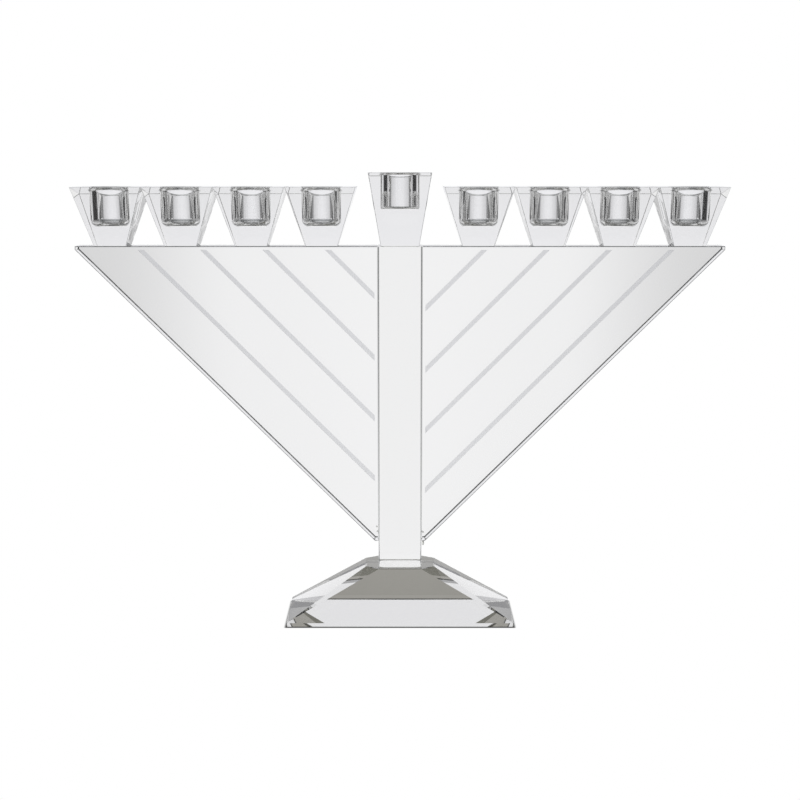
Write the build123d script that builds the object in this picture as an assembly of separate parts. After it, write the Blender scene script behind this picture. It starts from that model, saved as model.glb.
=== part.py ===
from build123d import *
import os

# A nine-branch Hanukkah lamp cut from clear optical crystal. Thirteen polished blocks
# are bonded with clear adhesive: a roofed base, a square column, two triangular wings,
# eight candle cups in one level row and a taller shamash cup on the column.
# Frame: millimetres, X along the row of cups, Y from front to back, Z up,
# origin at the middle of the underside of the base.

# bonds and polished edges
bond = 0.1                 # cured adhesive between two blocks
arris = 0.4                # bevel on the long edges of base, column and wings
cup_arris = 0.2            # the cups' edges are finer

# base: an upright band, four roof faces and four narrow hip facets
base_width = 132
base_depth = 52
base_height = 32
band_height = 2.5
platform_width = 40
platform_depth = 30
hip_cut_x = 8              # how far a hip facet cuts the platform's corner
hip_cut_y = 5.3

# column
column_side = 25
column_height = 187

# wings
wing_thickness = 15
wing_reach = 172.4         # along the top, from the column to the tip
wing_blunt = 2             # upright flat at the tip, level flat at the foot
line_count = 4
line_spacing = 35.5        # between the frosted lines, along the wing's top
line_width = 2.5
line_depth = 0.25
line_margin = 2            # clear glass left at the ends of the lines
left_line_start = 43       # from the lamp's middle to the innermost line's middle
right_line_start = 50

# candle cups
cup_count = 4              # on each wing
cup_pitch = 40
first_cup = 44.6           # from the lamp's middle to the innermost cup
cup_top = 39.6
cup_foot = 18.2
cup_height = 33.4
cup_bore_depth = 21.5
cup_bore_round = 4.5       # radius between a bore's wall and its bottom
shamash_top = 36
shamash_foot = 22
shamash_height = 41.4
shamash_bore_depth = 20
shamash_bore_round = 1.5
bore_diameter = 22.5
mouth_bevel = 0.8

# levels
column_z = base_height + bond
wing_top_z = column_z + column_height
cup_z = wing_top_z + bond
wing_x = column_side / 2 + bond


def save(solid, name):
    export_step(solid, f"parts/{name}.step")


def make_base():
    # The hull of the foot's rectangle, the top of its band and the eight-cornered platform.
    half_x, half_y = base_width / 2, base_depth / 2
    top_x, top_y = platform_width / 2, platform_depth / 2
    corners = []
    for x in (-1, 1):
        for y in (-1, 1):
            corners.append((x * half_x, y * half_y, 0))
            corners.append((x * half_x, y * half_y, band_height))
            corners.append((x * (top_x - hip_cut_x), y * top_y, base_height))
            corners.append((x * top_x, y * (top_y - hip_cut_y), base_height))
    block = ConvexPolyhedron(corners)
    edges = block.edges()
    foot = edges.filter_by_position(Axis.Z, 0, 0)
    platform = edges.filter_by_position(Axis.Z, base_height, base_height)
    return chamfer(edges.filter_by(Axis.Z) + foot + platform, arris)


def make_column():
    block = Pos(Z=column_z) * Box(
        column_side, column_side, column_height, align=(Align.CENTER, Align.CENTER, Align.MIN)
    )
    return chamfer(block.edges().filter_by(Axis.Z), arris)


def wing_outline(inset):
    # Right-angled triangle with blunted tip and foot, drawn for the right wing.
    inner = wing_x + inset
    outer = wing_x + wing_reach
    top = wing_top_z - inset
    slope = outer + wing_blunt - wing_top_z   # the long edge runs at 45 degrees: x - z
    low = inner - slope
    if inset:
        return [(inner, top), (top + slope, top), (inner, low)]
    return [
        (inner, top),
        (outer, top),
        (outer, top - wing_blunt),
        (inner + wing_blunt, low + wing_blunt),
        (inner, low + wing_blunt),
    ]


def line_groove(start):
    # One frosted line: a shallow band at 45 degrees in the wing's front face.
    reach = 3 * wing_reach    # past the wing's outline at both ends
    band = Box(reach, 2 * line_depth, line_width)
    return Pos(start, -wing_thickness / 2, wing_top_z) * Rot(Y=-45) * band


def make_wing(side, start):
    face = Plane.XZ * make_face(Polyline(wing_outline(0), close=True))
    plate = extrude(face, wing_thickness / 2, both=True)
    plate = chamfer(plate.edges().filter_by(Axis.Y, reverse=True), arris)
    field = Plane.XZ * make_face(Polyline(wing_outline(line_margin), close=True))
    field = extrude(field, wing_thickness, both=True)
    for number in range(line_count):
        plate -= line_groove(start + number * line_spacing) & field
    return plate if side > 0 else mirror(plate, about=Plane.YZ)


def make_cup(x, top, foot, height, bore_depth, bore_round):
    # A square funnel with a flat-bottomed candle bore.
    corners = []
    for across in (-0.5, 0.5):
        for along in (-0.5, 0.5):
            corners.append((across * foot, along * foot, 0))
            corners.append((across * top, along * top, height))
    block = ConvexPolyhedron(corners)
    block = chamfer(block.edges(), cup_arris)
    drill = Pos(Z=height - bore_depth) * Cylinder(
        bore_diameter / 2, height, align=(Align.CENTER, Align.CENTER, Align.MIN)
    )
    tip = drill.edges().filter_by(GeomType.CIRCLE).sort_by(Axis.Z)[0]
    block -= fillet(tip, bore_round)
    mouth = block.faces().sort_by(Axis.Z)[-1].edges().filter_by(GeomType.CIRCLE)
    block = chamfer(mouth, mouth_bevel)
    return Pos(x, 0, cup_z) * block


def make_bond(x, z, width, depth):
    return Pos(x, 0, z) * Box(width, depth, bond, align=(Align.CENTER, Align.CENTER, Align.MIN))


def make_side_bond(side):
    # The upright film between the column and a wing's inner edge.
    height = wing_top_z - wing_outline(0)[-1][1] - 2 * arris
    film = Box(bond, wing_thickness - 2 * arris, height, align=(Align.CENTER, Align.CENTER, Align.MAX))
    return Pos(side * (column_side + bond) / 2, 0, wing_top_z - arris) * film


os.makedirs("parts", exist_ok=True)

save(make_base(), "base")
save(make_column(), "column")
save(make_bond(0, base_height, column_side - 2 * arris, column_side - 2 * arris), "bond_column")

shamash = make_cup(0, shamash_top, shamash_foot, shamash_height, shamash_bore_depth, shamash_bore_round)
save(shamash, "cup_shamash")
save(make_bond(0, wing_top_z, shamash_foot - 2 * cup_arris, shamash_foot - 2 * cup_arris), "bond_shamash")

for side_name, side, line_start in (("left", -1, left_line_start), ("right", 1, right_line_start)):
    save(make_wing(side, line_start), f"wing_{side_name}")
    save(make_side_bond(side), f"bond_wing_{side_name}")
    for number in range(cup_count):
        place = side * (first_cup + number * cup_pitch)
        cup = make_cup(place, cup_top, cup_foot, cup_height, cup_bore_depth, cup_bore_round)
        save(cup, f"cup_{side_name}_{number + 1}")
        film = make_bond(place, wing_top_z, cup_foot - 2 * cup_arris, wing_thickness - 2 * arris)
        save(film, f"bond_{side_name}_{number + 1}")
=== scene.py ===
import math
import bpy
import numpy as np
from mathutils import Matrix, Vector


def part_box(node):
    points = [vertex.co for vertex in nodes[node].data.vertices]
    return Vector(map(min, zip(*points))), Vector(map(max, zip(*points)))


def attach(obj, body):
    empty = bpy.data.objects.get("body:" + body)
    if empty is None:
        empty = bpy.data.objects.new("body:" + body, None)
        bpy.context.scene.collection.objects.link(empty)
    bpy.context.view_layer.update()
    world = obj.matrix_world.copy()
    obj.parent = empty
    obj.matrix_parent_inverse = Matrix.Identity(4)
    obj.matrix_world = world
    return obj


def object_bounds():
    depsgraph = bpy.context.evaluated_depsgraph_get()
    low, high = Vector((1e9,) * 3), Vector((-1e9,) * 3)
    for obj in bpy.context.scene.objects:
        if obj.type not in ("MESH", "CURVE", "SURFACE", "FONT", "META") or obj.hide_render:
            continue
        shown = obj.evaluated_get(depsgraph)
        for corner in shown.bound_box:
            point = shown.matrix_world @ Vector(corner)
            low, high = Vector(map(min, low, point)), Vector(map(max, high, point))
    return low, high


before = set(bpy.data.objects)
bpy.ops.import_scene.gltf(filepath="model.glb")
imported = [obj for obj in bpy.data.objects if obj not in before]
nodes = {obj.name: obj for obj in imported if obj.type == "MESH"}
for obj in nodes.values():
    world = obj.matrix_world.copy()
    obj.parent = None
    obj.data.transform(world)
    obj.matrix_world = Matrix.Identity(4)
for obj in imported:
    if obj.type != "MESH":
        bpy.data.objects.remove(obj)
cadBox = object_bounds()
mm = 0.001

# A Hanukkah lamp of clear crystal blocks, bonded with clear adhesive, on a white studio table.


def linear(hexColour):
    # sRGB hex to linear: each channel over 12.92 in the dark part, the 2.4 power above it.
    parts = [int(hexColour[i:i + 2], 16) / 255 for i in (1, 3, 5)]
    return [c / 12.92 if c <= 0.04045 else ((c + 0.055) / 1.055) ** 2.4 for c in parts] + [1.0]


def addNode(tree, kind, settings=None, **sockets):
    # Adds a node, sets its properties and fills its sockets: another node's socket is linked, a value is set.
    node = tree.nodes.new(kind)
    for name, value in (settings or {}).items():
        setattr(node, name, value)
    for name, value in sockets.items():
        key = int(name[1:]) if name[0] == "i" and name[1:].isdigit() else name.replace("_", " ")
        if isinstance(value, bpy.types.NodeSocket):
            tree.links.new(value, node.inputs[key])
        else:
            node.inputs[key].default_value = value
    return node


def maths(tree, operation, a, b=0.0, c=0.0, clamp=False):
    settings = {"operation": operation, "use_clamp": clamp}
    return addNode(tree, "ShaderNodeMath", settings, i0=a, i1=b, i2=c).outputs[0]


cupNames = sorted(n for n in nodes if n.startswith("cup_"))
bondNames = sorted(n for n in nodes if n.startswith("bond_"))
wingNames = ["wing_left", "wing_right"]

# optical crystal, sawn and felt-polished: clear, so it shows as edges, refraction and reflection
crystal = {
    "ior": 1.517,
    "tint": "#FFFFFF",
    "absorb": "#BCBCB4",      # what thick glass takes away, a little more of the blue
    "density": 5.0,
    "waveSize": 28 * mm,      # hand polishing leaves faces very slightly wavy
    "waveHeight": 0.0035 * mm,
    "patchRange": (0.5, 0.75),
    "hazeSize": 9 * mm,       # patches that the felt missed
    "haze": 0.012,
    "edgeRough": 0.18,        # bevels are ground, not polished, so rougher than the faces
    "plateEdgeShade": "#1C1E1F",   # painted shade: bevel tints that draw the outline dark, darkest on wings and base
    "barEdgeShade": "#A4A6A7",
    "cupEdgeShade": "#A9ABAC",
    "baseEdgeShade": "#131515",
    "frostRough": 0.5,        # blasted with 120 grit
    "frostTint": "#D6D7DA",
    "gritSize": 0.25 * mm,    # real grit is half this: drawn coarser so that it shows
    "gritHeight": 0.02 * mm,
    "gritSpread": 0.2,
    "lineDepth": 0.25 * mm,   # how deep the frosted lines lie in the wings' fronts
    "lineSlack": 0.03 * mm,
    "bondSlack": 0.3 * mm,
}


def makeMaterial(name):
    material = bpy.data.materials.new(name)
    material.use_nodes = True
    tree = material.node_tree
    tree.nodes.clear()
    return material, tree


def split3(tree, vector):
    parts = addNode(tree, "ShaderNodeSeparateXYZ", i0=vector)
    return [parts.outputs[i] for i in range(3)]


def outwardNormal(tree):
    # The true face normal, pointing out of the block even where light meets the face from inside.
    geometry = addNode(tree, "ShaderNodeNewGeometry")
    sign = maths(tree, "MULTIPLY_ADD", geometry.outputs["Backfacing"], -2.0, 1.0)
    return [maths(tree, "MULTIPLY", part, sign) for part in split3(tree, geometry.outputs["True Normal"])]


def between(tree, value, low, high):
    # One where the value lies from low to high: no further from their middle than half their distance.
    return maths(tree, "COMPARE", value, (low + high) / 2, (high - low) / 2)


def insideBox(tree, xyz, low, high):
    # One inside the box and nought outside: the product of three comparisons with its middle and half size.
    near = [between(tree, value, a, b) for value, a, b in zip(xyz, low, high)]
    return maths(tree, "MULTIPLY", maths(tree, "MULTIPLY", near[0], near[1]), near[2])


def bondMask(tree, xyz):
    # The bonded faces: where adhesive joins two blocks, light passes as if they were one.
    # The two sides are alike, so the right one's boxes serve both, by the absolute value of x.
    x, y, z = xyz
    sideX = maths(tree, "ABSOLUTE", x)
    slack = crystal["bondSlack"]
    total = None
    for name in bondNames:
        if "left" in name:
            continue
        low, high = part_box(name)
        thin = min(range(3), key=lambda i: high[i] - low[i])
        lowCorner = [low[i] - (slack if i == thin else 0) for i in range(3)]
        highCorner = [high[i] + (slack if i == thin else 0) for i in range(3)]
        mask = insideBox(tree, (sideX if "right" in name else x, y, z), lowCorner, highCorner)
        total = mask if total is None else maths(tree, "ADD", total, mask, clamp=True)
    return total


def plateEdges(tree, normal, xyz):
    # Wings: a bevel is any face between the flat front and back and the rim.
    # Those at the column are filled by adhesive.
    bevel = between(tree, maths(tree, "ABSOLUTE", normal[1]), 0.2, 0.98)
    free = maths(tree, "GREATER_THAN", maths(tree, "ABSOLUTE", xyz[0]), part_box("wing_right")[0].x + 0.6 * mm)
    return maths(tree, "MULTIPLY", bevel, free)


def barEdges(tree, normal, xyz):
    return between(tree, maths(tree, "ABSOLUTE", normal[0]), 0.2, 0.98)


def cupEdges(tree, normal, xyz):
    # Cups: faces that point further down than the slanted sides are the foot's and corners' bevels.
    # Those that point partly up are the rim's and mouth's bevels and the round at the bore's bottom.
    low = between(tree, normal[2], -0.97, -0.36)
    return maths(tree, "MAXIMUM", low, between(tree, normal[2], 0.12, 0.93))


def baseEdges(tree, normal, xyz):
    # Base: the bevels of the foot, which point down, and of the band's upright corners.
    foot = between(tree, normal[2], -0.95, -0.1)
    level = between(tree, normal[2], -0.05, 0.05)
    return maths(tree, "MAXIMUM", foot, maths(tree, "MULTIPLY", level, barEdges(tree, normal, xyz)))


def mixTone(tree, share, first, second):
    # A blend of two colours by a share: the first at nought, the second at one.
    return addNode(tree, "ShaderNodeMix", {"data_type": "RGBA"}, i0=share, i6=first, i7=second).outputs[2]


def makeCrystal(name, findEdges, edgeShadeTint, grooveFloor=None):
    # Clear crystal. The wave makes reflections swim a little, the haze breaks up the gloss and the bevels draw
    # the outline in painted shade. On the wings the blasted lines look pale grey and dull. Absorption tints
    # the thick parts.
    material, tree = makeMaterial(name)
    place = addNode(tree, "ShaderNodeTexCoord").outputs["Object"]
    xyz = split3(tree, place)
    normal = outwardNormal(tree)
    edge = findEdges(tree, normal, xyz)
    wave = addNode(tree, "ShaderNodeTexNoise", Vector=place, Scale=1 / crystal["waveSize"], Detail=1.0)
    patches = addNode(tree, "ShaderNodeTexNoise", Vector=place, Scale=1 / crystal["hazeSize"], Detail=3.0)
    haze = addNode(tree, "ShaderNodeMapRange", Value=patches.outputs[0], To_Max=crystal["haze"],
                   From_Min=crystal["patchRange"][0], From_Max=crystal["patchRange"][1])
    rough = maths(tree, "MULTIPLY", edge, crystal["edgeRough"])
    rough = maths(tree, "MAXIMUM", rough, haze.outputs[0])
    # painted shade: the bevels take a dark tint that stands for the dark lines their refraction draws
    tone = mixTone(tree, edge, linear(crystal["tint"]), linear(edgeShadeTint))
    bump = addNode(tree, "ShaderNodeBump", Height=wave.outputs[0], Distance=crystal["waveHeight"],
                   Strength=1.0)
    if grooveFloor is not None:
        groove = maths(tree, "COMPARE", xyz[1], grooveFloor, crystal["lineSlack"])
        grit = addNode(tree, "ShaderNodeTexNoise", Vector=place, Scale=1 / crystal["gritSize"], Detail=2.0)
        spread = crystal["gritSpread"]
        blast = maths(tree, "MULTIPLY_ADD", grit.outputs[0], spread, crystal["frostRough"] - spread / 2)
        rough = maths(tree, "MAXIMUM", rough, maths(tree, "MULTIPLY", groove, blast))
        tone = mixTone(tree, groove, tone, linear(crystal["frostTint"]))
        pits = maths(tree, "MULTIPLY", groove, grit.outputs[0])
        bump = addNode(tree, "ShaderNodeBump", Height=pits, Distance=crystal["gritHeight"], Strength=0.5,
                       Normal=bump.outputs[0])
    glass = addNode(tree, "ShaderNodeBsdfPrincipled", Base_Color=tone, Roughness=rough,
                    Normal=bump.outputs[0], IOR=crystal["ior"], Transmission_Weight=1.0)
    clear = addNode(tree, "ShaderNodeBsdfTransparent")
    mix = addNode(tree, "ShaderNodeMixShader", i0=bondMask(tree, xyz), i1=glass.outputs[0],
                  i2=clear.outputs[0])
    absorb = addNode(tree, "ShaderNodeVolumeAbsorption", Color=linear(crystal["absorb"]),
                     Density=crystal["density"])
    addNode(tree, "ShaderNodeOutputMaterial", Surface=mix.outputs[0], Volume=absorb.outputs[0])
    return material


# cured clear adhesive: a little softer in gloss than the glass, with the odd bubble
adhesive = {
    "ior": 1.50,
    "tint": "#E4E5E0",
    "rough": 0.06,
    "bubbleCell": 5 * mm,     # one bubble in a few of the cells this size
    "bubbleSize": 0.5 * mm,
    "bubbleShare": 0.35,
    "bubbleTint": "#4A4C4B",
    "skinSize": 1.2 * mm,
    "skinHeight": 0.02 * mm,
}


def makeFilm(name, thinAxis):
    # Cured film: its two large faces touch glass and vanish, apart from grey specks where a bubble is caught.
    material, tree = makeMaterial(name)
    place = addNode(tree, "ShaderNodeTexCoord").outputs["Object"]
    normal = outwardNormal(tree)
    facing = between(tree, maths(tree, "ABSOLUTE", normal[thinAxis]), 0.9, 1.1)
    cells = addNode(tree, "ShaderNodeTexVoronoi", Vector=place, Scale=1 / adhesive["bubbleCell"])
    reach = adhesive["bubbleSize"] / adhesive["bubbleCell"]
    near = maths(tree, "LESS_THAN", cells.outputs["Distance"], reach)
    pick = maths(tree, "LESS_THAN", split3(tree, cells.outputs["Color"])[0], adhesive["bubbleShare"])
    bubble = maths(tree, "MULTIPLY", near, pick)
    tone = mixTone(tree, bubble, linear(adhesive["tint"]), linear(adhesive["bubbleTint"]))
    glass = addNode(tree, "ShaderNodeBsdfPrincipled", Base_Color=tone, Roughness=adhesive["rough"],
                    IOR=adhesive["ior"], Transmission_Weight=1.0)
    clear = addNode(tree, "ShaderNodeBsdfTransparent")
    through = maths(tree, "SUBTRACT", facing, bubble, clamp=True)
    mix = addNode(tree, "ShaderNodeMixShader", i0=through, i1=glass.outputs[0], i2=clear.outputs[0])
    addNode(tree, "ShaderNodeOutputMaterial", Surface=mix.outputs[0])
    return material


def makeBeadMaterial():
    # Squeezed-out adhesive: glossy and nearly clear, with a slightly dimpled skin that breaks its highlights.
    material, tree = makeMaterial("CuredAdhesiveBead")
    place = addNode(tree, "ShaderNodeTexCoord").outputs["Object"]
    skin = addNode(tree, "ShaderNodeTexNoise", Vector=place, Scale=1 / adhesive["skinSize"], Detail=2.0)
    bump = addNode(tree, "ShaderNodeBump", Height=skin.outputs[0], Distance=adhesive["skinHeight"],
                   Strength=0.6)
    gloss = addNode(tree, "ShaderNodeMapRange", Value=skin.outputs[0], To_Min=adhesive["rough"] / 3,
                    To_Max=2 * adhesive["rough"])
    glass = addNode(tree, "ShaderNodeBsdfPrincipled", Base_Color=linear(adhesive["tint"]),
                    IOR=adhesive["ior"], Transmission_Weight=1.0, Roughness=gloss.outputs[0],
                    Normal=bump.outputs[0])
    addNode(tree, "ShaderNodeOutputMaterial", Surface=glass.outputs[0])
    return material


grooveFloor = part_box("wing_left")[0].y + crystal["lineDepth"]
plateCrystal = makeCrystal("FrostLinedCrystal", plateEdges, crystal["plateEdgeShade"], grooveFloor)
barCrystal = makeCrystal("PolishedCrystalBar", barEdges, crystal["barEdgeShade"])
cupCrystal = makeCrystal("PolishedCrystalCup", cupEdges, crystal["cupEdgeShade"])
baseCrystal = makeCrystal("PolishedCrystalBase", baseEdges, crystal["baseEdgeShade"])
levelFilm = makeFilm("CuredAdhesiveLevel", 2)
uprightFilm = makeFilm("CuredAdhesiveUpright", 0)
finishes = {"base": baseCrystal, "column": barCrystal}
finishes.update({name: plateCrystal for name in wingNames})
finishes.update({name: cupCrystal for name in cupNames})
finishes.update({name: uprightFilm if "wing" in name else levelFilm for name in bondNames})
for name, node in nodes.items():
    node.data.materials.clear()
    node.data.materials.append(finishes[name])
print("crystal and adhesive done")

# beads of adhesive squeezed out of the joints
bead = {
    "radius": 0.11 * mm,
    "cornerSwell": 0.9,       # thicker where four edges meet
    "wobble": 0.35,
    "around": 192,
    "section": 10,
    "squareness": 14,
}

# where more of it came out: a drop under the right wing's foot, and specks on both wings beside the column
spill = {
    "drop": {"out": 0.9 * mm, "up": -1.2 * mm, "back": 1.2 * mm, "radii": (0.75 * mm, 0.9 * mm, 1.5 * mm)},
    "specks": [               # side, out from the wing's inner edge, up from its foot, radius
        (-1, 1.0 * mm, 8.8 * mm, 0.50 * mm),
        (-1, 0.6 * mm, 5.9 * mm, 0.42 * mm),
        (1, 0.9 * mm, 5.4 * mm, 0.48 * mm),
    ],
    "flatness": 0.9,
    "taper": 0.35,            # a hanging drop is fuller below
    "rings": 24,
    "around": 32,
}


def finishBead(name, vertices, faces):
    mesh = bpy.data.meshes.new(name)
    mesh.from_pydata(vertices, [], faces)
    mesh.polygons.foreach_set("use_smooth", np.ones(len(mesh.polygons), bool))
    mesh.materials.append(beadMaterial)
    item = bpy.data.objects.new(name, mesh)
    bpy.context.scene.collection.objects.link(item)
    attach(item, "root")


def addDrop(name, centre, radii, taper):
    # A drop: an ellipsoid, sine and cosine of two angles, whose width grows towards the bottom by the taper.
    rings, around = spill["rings"], spill["around"]
    t = np.linspace(0, math.pi, rings + 1)[1:-1, None]
    v = np.linspace(0, 2 * math.pi, around, endpoint=False)[None, :]
    wide = np.sin(t) * (1 - taper * np.cos(t)) / (1 + taper / 2)
    points = np.stack([radii[0] * wide * np.cos(v), radii[1] * wide * np.sin(v),
                       radii[2] * np.cos(t) + 0 * v], -1).reshape(-1, 3)
    poles = np.array([[0, 0, radii[2]], [0, 0, -radii[2]]])
    vertices = np.concatenate([points, poles]) + np.array(centre)
    top, bottom = len(points), len(points) + 1
    faces = []
    for j in range(around):
        k = (j + 1) % around
        faces.append((top, j, k))
        faces.append((bottom, top - around + k, top - around + j))
        faces += [(i * around + j, (i + 1) * around + j, (i + 1) * around + k, i * around + k)
                  for i in range(rings - 2)]
    finishBead(name, vertices.tolist(), faces)


def meshGrid(name, points):
    # Joins a grid of points, rows by columns, into quads that close round both ways.
    rows, columns = points.shape[:2]
    i, j = np.meshgrid(np.arange(rows), np.arange(columns), indexing="ij")
    nextI, nextJ = (i + 1) % rows, (j + 1) % columns
    quads = np.stack([i * columns + j, nextI * columns + j, nextI * columns + nextJ, i * columns + nextJ], -1)
    quads = quads.reshape(-1, 4)
    finishBead(name, points.reshape(-1, 3).tolist(), quads.tolist())


def addBead(name, film, axes, seed):
    # A bead round a film's outline: a superellipse, x to the 14th plus y to the 14th equal to one, carried
    # round by an angle. Its section is a small circle that swells at the corners and wavers along the way.
    low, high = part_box(film)
    middle = [(low[i] + high[i]) / 2 for i in range(3)]
    halfA, halfB = ((high[i] - low[i]) / 2 for i in axes[:2])
    t = np.linspace(0, 2 * math.pi, bead["around"], endpoint=False)[:, None]
    v = np.linspace(0, 2 * math.pi, bead["section"], endpoint=False)[None, :]
    power = 2 / bead["squareness"]
    a = np.sign(np.cos(t)) * np.abs(np.cos(t)) ** power
    b = np.sign(np.sin(t)) * np.abs(np.sin(t)) ** power
    towardsA = np.sign(a) * np.abs(a) ** (bead["squareness"] - 1) / halfA
    towardsB = np.sign(b) * np.abs(b) ** (bead["squareness"] - 1) / halfB
    length = np.sqrt(towardsA ** 2 + towardsB ** 2)
    towardsA, towardsB = towardsA / length, towardsB / length
    waver = np.sin(5 * t + seed) * np.sin(11 * t + 2.3 * seed)
    corner = np.abs(np.sin(2 * t)) ** 6
    radius = bead["radius"] * (1 + bead["cornerSwell"] * corner + bead["wobble"] * waver)
    points = np.zeros((bead["around"], bead["section"], 3))
    points[..., axes[0]] = middle[axes[0]] + halfA * a + radius * np.cos(v) * towardsA
    points[..., axes[1]] = middle[axes[1]] + halfB * b + radius * np.cos(v) * towardsB
    points[..., axes[2]] = middle[axes[2]] + radius * np.sin(v)
    meshGrid(name, points)


beadMaterial = makeBeadMaterial()
for number, film in enumerate(bondNames):
    upright = "wing" in film
    addBead(film.replace("bond", "bead"), film, (1, 2, 0) if upright else (0, 1, 2), 1.7 * number)
footRight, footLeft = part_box("wing_right")[0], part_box("wing_left")
drop = spill["drop"]
addDrop("spill_drop", (footRight.x + drop["out"], footRight.y + drop["back"], footRight.z + drop["up"]),
        drop["radii"], spill["taper"])
for number, (side, out, up, radius) in enumerate(spill["specks"]):
    x = footRight.x + out if side > 0 else footLeft[1].x - out
    addDrop(f"spill_speck_{number + 1}", (x, footRight.y, footRight.z + up),
            (radius, radius * spill["flatness"], radius), 0.0)
print("adhesive beads done")

# the studio: pure white to the lens, and a modelled room to every ray bent or turned by the glass
# each pair is an angle in degrees and a level of light, by azimuth, by height or across the table
studio = {
    "seen": 1.0,            # what the lens sees directly is clipped to white
    "cool": "#FCFCFF",
    "backdrop": [(0, 0.93), (15, 0.90), (28, 0.81), (42, 0.72), (52, 0.60), (60, 0.14), (68, 0.03),
                 (90, 0.02)],
    "above": [(0, 0.0), (37, 0.0), (46, 0.6), (55, 1.0), (90, 1.0)],
    "ceiling": 0.38,
    "front": 0.28,          # the room in front of the lamp, against the backdrop
    "floorFront": 0.55,     # painted light: the table in front of it is painted dimmer
    # painted pool of light on the table, a level by the angle off the lamp's axis
    "pool": [(0, 0.96), (6, 0.94), (12, 0.74), (20, 0.58), (35, 0.30), (60, 0.11), (90, 0.07)],
    "poolReach": 0.84,
    "paper": "#FEFEFF",
    "shade": "#A9A7A2",     # paper in the base's own shade
    "underShade": "#807F78",     # painted shade: paper right under the base, darkened
    "underReach": 0.5 * mm,
    "contactShadow": 1.8 * mm,    # painted contact shadow: the dark line where the base meets the table
    "contactShadowLevel": 0.03,
    "shadeEdge": (17 * mm, 26 * mm),
    "floorSize": 14.0,
}


def levelRamp(tree, value, stops):
    # A ramp from an angle to a level of light, eased between its stops.
    share = maths(tree, "DIVIDE", value, math.radians(90))
    ramp = addNode(tree, "ShaderNodeValToRGB", i0=share)
    ramp.color_ramp.interpolation = "EASE"
    while len(ramp.color_ramp.elements) < len(stops):
        ramp.color_ramp.elements.new(1.0)
    for element, (angle, level) in zip(ramp.color_ramp.elements, stops):
        element.position = angle / 90
        element.color = (level, level, level, 1)
    return ramp.outputs[0]


def frontShare(tree, y, share):
    # Full light on the backdrop's side, less in front of the lamp.
    fade = addNode(tree, "ShaderNodeMapRange", {"interpolation_type": "SMOOTHSTEP"}, Value=y,
                   From_Min=-0.2, From_Max=0.0, To_Min=share, To_Max=1.0)
    return fade.outputs[0]


def makeWorld():
    world = bpy.data.worlds.new("Studio")
    bpy.context.scene.world = world
    world.use_nodes = True
    tree = world.node_tree
    tree.nodes.clear()
    way = addNode(tree, "ShaderNodeTexCoord").outputs["Generated"]
    x, y, z = split3(tree, way)
    # a bright wall behind, a dim one in front, dark room at the two ends and a grey ceiling over all
    azimuth = maths(tree, "ARCTAN2", maths(tree, "ABSOLUTE", x), maths(tree, "ABSOLUTE", y))
    height = maths(tree, "MAXIMUM", maths(tree, "ARCSINE", z), 0.0)
    share = frontShare(tree, y, studio["front"])
    wall = maths(tree, "MULTIPLY", levelRamp(tree, azimuth, studio["backdrop"]), share)
    above = levelRamp(tree, height, studio["above"])
    level = addNode(tree, "ShaderNodeMix", {"data_type": "FLOAT"}, i0=above, i2=wall, i3=studio["ceiling"])
    seen = addNode(tree, "ShaderNodeLightPath").outputs["Is Camera Ray"]
    final = addNode(tree, "ShaderNodeMix", {"data_type": "FLOAT"}, i0=seen, i2=level.outputs[0],
                    i3=studio["seen"])
    tone = mixTone(tree, seen, linear(studio["cool"]), (1, 1, 1, 1))
    background = addNode(tree, "ShaderNodeBackground", Color=tone, Strength=final.outputs[0])
    addNode(tree, "ShaderNodeOutputWorld", Surface=background.outputs[0])


# The table glows, an emission sheet with no lamp on it: its pool of light, dimmer front and shade round the
# base are painted light and painted shade.
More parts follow.
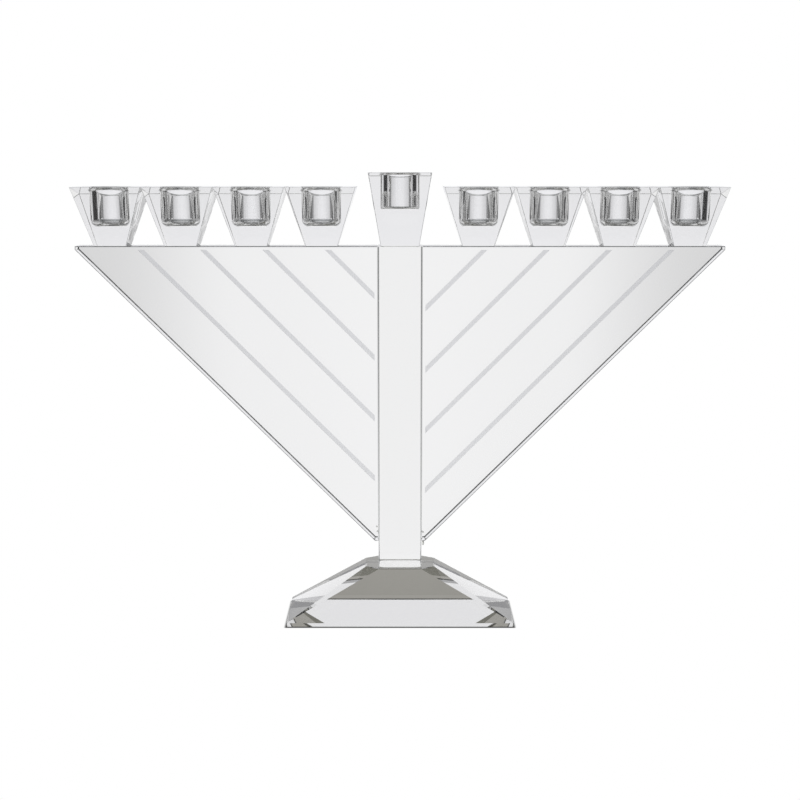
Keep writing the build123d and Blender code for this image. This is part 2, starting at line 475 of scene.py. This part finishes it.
def makeFloor():
    half = studio["floorSize"] / 2
    level = -0.05 * mm    # just below the base, so that the two faces don't share a plane
    corners = [(-half, -half, level), (half, -half, level), (half, half, level), (-half, half, level)]
    mesh = bpy.data.meshes.new("Floor")
    mesh.from_pydata(corners, [], [(0, 1, 2, 3)])
    floor = bpy.data.objects.new("Floor", mesh)
    bpy.context.scene.collection.objects.link(floor)
    material, tree = makeMaterial("PaintedLightTable")
    x, y, z = split3(tree, addNode(tree, "ShaderNodeTexCoord").outputs["Object"])
    sideX = maths(tree, "ABSOLUTE", x)
    sideY = maths(tree, "ABSOLUTE", y)
    # painted pool of light: falls off with the angle off the Y axis, taken from a point poolReach before the
    # lamp
    angle = maths(tree, "ARCTAN2", sideX, maths(tree, "ADD", sideY, studio["poolReach"]))
    share = frontShare(tree, y, studio["floorFront"])
    pool = maths(tree, "MULTIPLY", levelRamp(tree, angle, studio["pool"]), share)
    # distance from the base's rectangle: the root of the squares of how far a point is past each half side
    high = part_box("base")[1]
    outX = maths(tree, "MAXIMUM", maths(tree, "SUBTRACT", sideX, high.x), 0.0)
    outY = maths(tree, "MAXIMUM", maths(tree, "SUBTRACT", sideY, high.y), 0.0)
    squares = [maths(tree, "POWER", part, 2.0) for part in (outX, outY)]
    away = maths(tree, "SQRT", maths(tree, "ADD", squares[0], squares[1]))
    # painted shade: the paper darkens within shadeEdge of the base
    fade = addNode(tree, "ShaderNodeMapRange", {"interpolation_type": "SMOOTHSTEP"}, Value=away,
                   From_Min=studio["shadeEdge"][0], From_Max=studio["shadeEdge"][1])
    tone = mixTone(tree, fade.outputs[0], linear(studio["shade"]), linear(studio["paper"]))
    # painted shade right under the base
    underShade = maths(tree, "LESS_THAN", away, studio["underReach"])
    tone = mixTone(tree, underShade, tone, linear(studio["underShade"]))
    paint = addNode(tree, "ShaderNodeEmission", Color=tone, Strength=pool)
    # painted contact shadow: what the lens sees of the table darkens towards the base's foot
    contactShadow = addNode(tree, "ShaderNodeMapRange", {"interpolation_type": "SMOOTHSTEP"}, Value=away,
                      From_Max=studio["contactShadow"], To_Min=studio["contactShadowLevel"], To_Max=studio["seen"])
    glow = addNode(tree, "ShaderNodeEmission", Strength=contactShadow.outputs[0])
    seen = addNode(tree, "ShaderNodeLightPath").outputs["Is Camera Ray"]
    mix = addNode(tree, "ShaderNodeMixShader", i0=seen, i1=paint.outputs[0], i2=glow.outputs[0])
    addNode(tree, "ShaderNodeOutputMaterial", Surface=mix.outputs[0])
    mesh.materials.append(material)


softbox = {"size": 0.7, "distance": 1.6, "azimuth": 52.0, "height": 56.0, "level": 0.58}


def makeSoftboxes():
    # Two soft lights behind the lamp, high on either side, turned towards its middle.
    low, high = cadBox
    aim = (Vector(low) + Vector(high)) / 2
    for side in (-1, 1):
        data = bpy.data.lights.new("Softbox", "AREA")
        data.shape = "SQUARE"
        data.size = softbox["size"]
        data.energy = softbox["level"] * math.pi * softbox["size"] ** 2
        item = bpy.data.objects.new("Softbox", data)
        turn, rise = math.radians(softbox["azimuth"]), math.radians(softbox["height"])
        flat = math.cos(rise)
        way = Vector((side * math.sin(turn) * flat, math.cos(turn) * flat, math.sin(rise)))
        item.location = aim + way * softbox["distance"]
        item.rotation_euler = way.to_track_quat("Z", "Y").to_euler()
        item.visible_camera = False
        bpy.context.scene.collection.objects.link(item)


camera = {"place": (0.0, -0.842, 0.2662), "down": 9.23, "lens": 65.8, "sensor": 36.0}


def makeCamera():
    data = bpy.data.cameras.new("Camera")
    data.lens = camera["lens"]
    data.sensor_width = camera["sensor"]
    data.clip_start = 0.01
    data.clip_end = 50
    item = bpy.data.objects.new("Camera", data)
    item.location = camera["place"]
    item.rotation_euler = (math.radians(90 - camera["down"]), 0, 0)
    bpy.context.scene.collection.objects.link(item)
    bpy.context.scene.camera = item


makeWorld()
makeFloor()
makeSoftboxes()
makeCamera()
scene = bpy.context.scene
scene.view_settings.view_transform = "Standard"
scene.cycles.max_bounces = 24
scene.cycles.transmission_bounces = 24
scene.cycles.glossy_bounces = 12
scene.cycles.transparent_max_bounces = 24
print("studio done")
